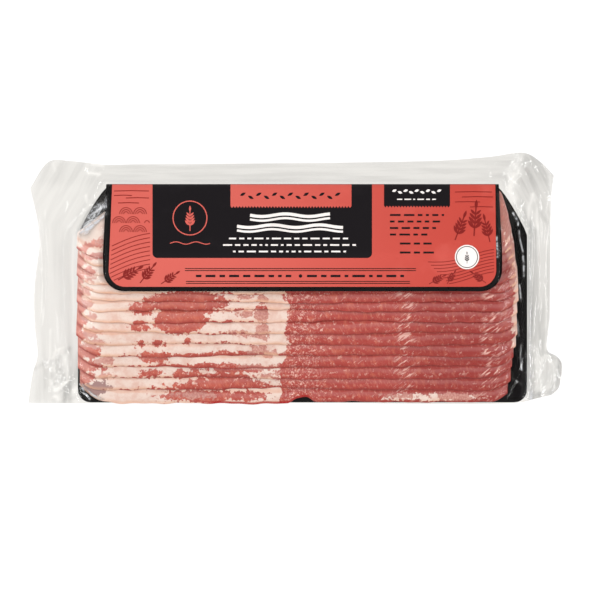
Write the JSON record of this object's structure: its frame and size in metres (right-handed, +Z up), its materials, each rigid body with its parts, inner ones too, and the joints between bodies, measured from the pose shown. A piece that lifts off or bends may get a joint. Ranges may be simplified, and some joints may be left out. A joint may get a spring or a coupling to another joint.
{
  "type": "bacon pack",
  "caption": "Flat vacuum pack of sliced bacon: rashers shingled on a black card whose top edge folds over them as a printed label, in a clear film pouch with a loose sealed flange.",
  "frame": {"origin": "middle of the pack's footprint, on the surface that it lies on", "axes": "+X along the rashers, towards the pack's right end as the label is read; +Y towards the card's folded edge; +Z up, out of the shown side"},
  "size_m": [0.2904, 0.138, 0.0261],
  "materials": {
    "film": "clear, glossy, with soft creases",
    "card": "coated and printed",
    "bacon": "moist raw meat"
  },
  "bodies": {
    "root": {"pouch": "film", "label_card": "card", "rasher_01": "bacon", "rasher_02": "bacon", "rasher_03": "bacon", "rasher_04": "bacon", "rasher_05": "bacon", "rasher_06": "bacon", "rasher_07": "bacon", "rasher_08": "bacon", "rasher_09": "bacon", "rasher_10": "bacon", "rasher_11": "bacon", "rasher_12": "bacon", "rasher_13": "bacon", "rasher_14": "bacon", "rasher_15": "bacon"}
  },
  "joints": []
}
